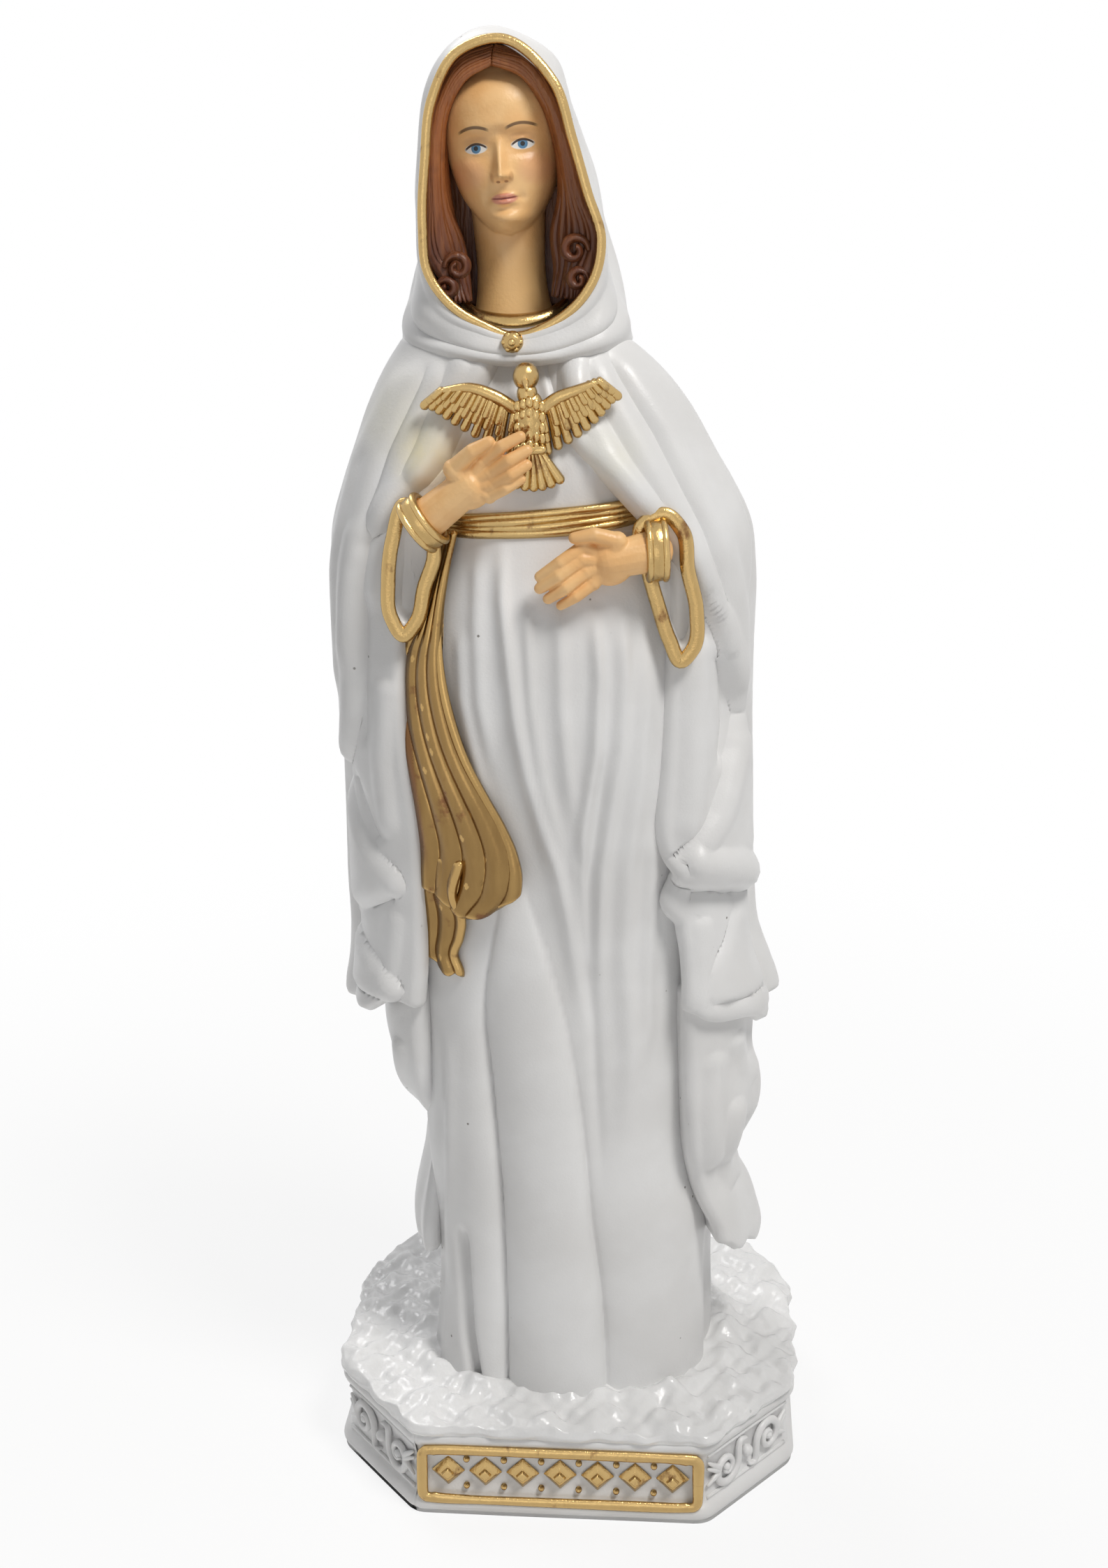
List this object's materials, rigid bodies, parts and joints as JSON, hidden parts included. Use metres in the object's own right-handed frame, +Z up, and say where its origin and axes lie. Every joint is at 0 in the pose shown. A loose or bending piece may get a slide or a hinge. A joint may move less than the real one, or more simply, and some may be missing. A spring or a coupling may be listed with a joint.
{
  "type": "madonna statue",
  "caption": "Standing robed and hooded figure that holds a dove at the breast, with a gold sash, on a low chamfered plinth, in painted plaster.",
  "frame": {"origin": "centre of the plinth's underside", "axes": "+Z up; the figure faces -Y; +X to the figure's own left"},
  "size_m": [0.1, 0.085, 0.3],
  "materials": {
    "white_paint": "satin white paint on cast plaster",
    "white_gloss": "glossy white paint on rough plaster",
    "gold_paint": "brushed-on metallic gold paint with dark brown patches",
    "skin_paint": "satin flesh-coloured paint",
    "hair_paint": "glossy auburn-brown paint",
    "steel": "plain drawn steel"
  },
  "bodies": {
    "root": {"plinth": "white_paint", "ground": "white_gloss", "name_frame": "gold_paint", "name_lozenges": "gold_paint", "corner_scrolls": "white_paint", "skirt": "white_paint", "bodice": "white_paint", "belt": "gold_paint", "sash_tail": "gold_paint", "under_mantle": "white_paint", "mantle": "white_paint", "hood": "white_paint", "hood_trim": "gold_paint", "collar": "gold_paint", "clasp": "gold_paint", "head": "skin_paint", "hair": "hair_paint", "right_sleeve": "white_paint", "left_sleeve": "white_paint", "right_sleeve_hem": "gold_paint", "left_sleeve_hem": "gold_paint", "right_cuff": "gold_paint", "left_cuff": "gold_paint", "right_hand": "skin_paint", "left_hand": "skin_paint", "dove": "gold_paint", "armature_rod": "steel", "neck_dowel": "steel", "right_wrist_pin": "steel", "left_wrist_pin": "steel"}
  },
  "joints": []
}
